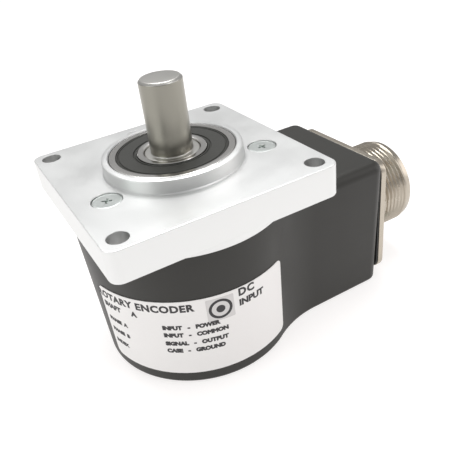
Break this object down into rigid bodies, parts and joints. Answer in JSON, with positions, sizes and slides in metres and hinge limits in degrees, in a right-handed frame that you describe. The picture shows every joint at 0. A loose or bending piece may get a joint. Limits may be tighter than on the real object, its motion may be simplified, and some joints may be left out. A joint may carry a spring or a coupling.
{
  "type": "rotary encoder",
  "caption": "Shaft encoder: short round shaft in a sealed bearing, square flange with round pilot, round black cover with a side box and a threaded multi-pin connector.",
  "frame": {"origin": "centre of the rear face, on the shaft's axis", "axes": "+Z along the shaft and out of the flange, +X towards the side connector"},
  "size_m": [0.0895, 0.0522, 0.0649],
  "materials": {
    "flange_aluminium": "satin machined",
    "cover_black": "satin black",
    "shaft_steel": "fine ground",
    "bearing_steel": "polished",
    "seal_rubber": "matte",
    "screw_zinc": "zinc plated",
    "spring_steel": "oiled",
    "gasket_rubber": "matte",
    "brass": "satin",
    "contact_gold": "plated",
    "connector_nickel": "nickel plated",
    "insert_plastic": "moulded",
    "black_plastic": "moulded",
    "board_green": "solder mask",
    "label_vinyl": "satin film",
    "clear_glass": "clear",
    "wire_red": "moulded",
    "wire_black": "moulded",
    "wire_white": "moulded",
    "wire_green": "moulded",
    "wire_blue": "moulded",
    "wire_yellow": "moulded",
    "wire_brown": "moulded"
  },
  "bodies": {
    "encoder_body": {"flange_plate": "flange_aluminium", "flange_o_ring": "gasket_rubber", "connector_gasket": "gasket_rubber", "flange_screw_1": "screw_zinc", "flange_screw_2": "screw_zinc", "flange_screw_3": "screw_zinc", "board_screw_1": "screw_zinc", "board_screw_2": "screw_zinc", "board_screw_3": "screw_zinc", "connector_screw_1": "screw_zinc", "connector_screw_2": "screw_zinc", "connector_screw_3": "screw_zinc", "connector_screw_4": "screw_zinc", "housing_cover": "cover_black", "front_bearing_outer_ring": "bearing_steel", "front_bearing_front_seal": "seal_rubber", "front_bearing_back_seal": "seal_rubber", "rear_bearing_outer_ring": "bearing_steel", "rear_bearing_front_seal": "seal_rubber", "rear_bearing_back_seal": "seal_rubber", "wave_washer": "spring_steel", "bearing_retaining_ring": "spring_steel", "insert_retaining_ring": "spring_steel", "board_standoff_1": "brass", "board_standoff_2": "brass", "board_standoff_3": "brass", "emitter_led": "clear_glass", "reticle_plate": "clear_glass", "signal_board": "board_green", "read_head_body": "black_plastic", "detector_chip": "black_plastic", "signal_processor": "black_plastic", "line_driver": "black_plastic", "wire_header": "black_plastic", "connector_shell": "connector_nickel", "connector_insert": "insert_plastic", "contact_pin_a": "contact_gold", "contact_pin_b": "contact_gold", "contact_pin_c": "contact_gold", "contact_pin_d": "contact_gold", "contact_pin_e": "contact_gold", "contact_pin_f": "contact_gold", "contact_pin_g": "contact_gold", "identification_label": "label_vinyl", "harness_wire_a": "wire_red", "harness_wire_b": "wire_black", "harness_wire_c": "wire_white", "harness_wire_d": "wire_green", "harness_wire_e": "wire_blue", "harness_wire_f": "wire_yellow", "harness_wire_g": "wire_brown"},
    "rotor": {"shaft": "shaft_steel", "front_bearing_inner_ring": "bearing_steel", "rear_bearing_inner_ring": "bearing_steel", "shaft_retaining_ring": "spring_steel", "code_disc_hub": "brass", "hub_set_screw": "screw_zinc", "code_disc": "clear_glass"},
    "front_ball_set": {"front_bearing_ball_cage": "bearing_steel"},
    "rear_ball_set": {"rear_bearing_ball_cage": "bearing_steel"}
  },
  "joints": [
    {"name": "shaft_spin", "type": "hinge", "parent": "encoder_body", "child": "rotor", "pos_m": [0, 0, 0.0457], "axis": [0, 0, 1], "continuous": true},
    {"name": "front_ball_set_spin", "type": "hinge", "parent": "encoder_body", "child": "front_ball_set", "pos_m": [0, 0, 0.04475], "axis": [0, 0, 1], "continuous": true},
    {"name": "rear_ball_set_spin", "type": "hinge", "parent": "encoder_body", "child": "rear_ball_set", "pos_m": [0, 0, 0.03081], "axis": [0, 0, 1], "continuous": true}
  ],
  "couplings": [
    {"joint": "front_ball_set_spin", "follows": "shaft_spin", "ratio": 0.4038},
    {"joint": "rear_ball_set_spin", "follows": "shaft_spin", "ratio": 0.4038}
  ]
}
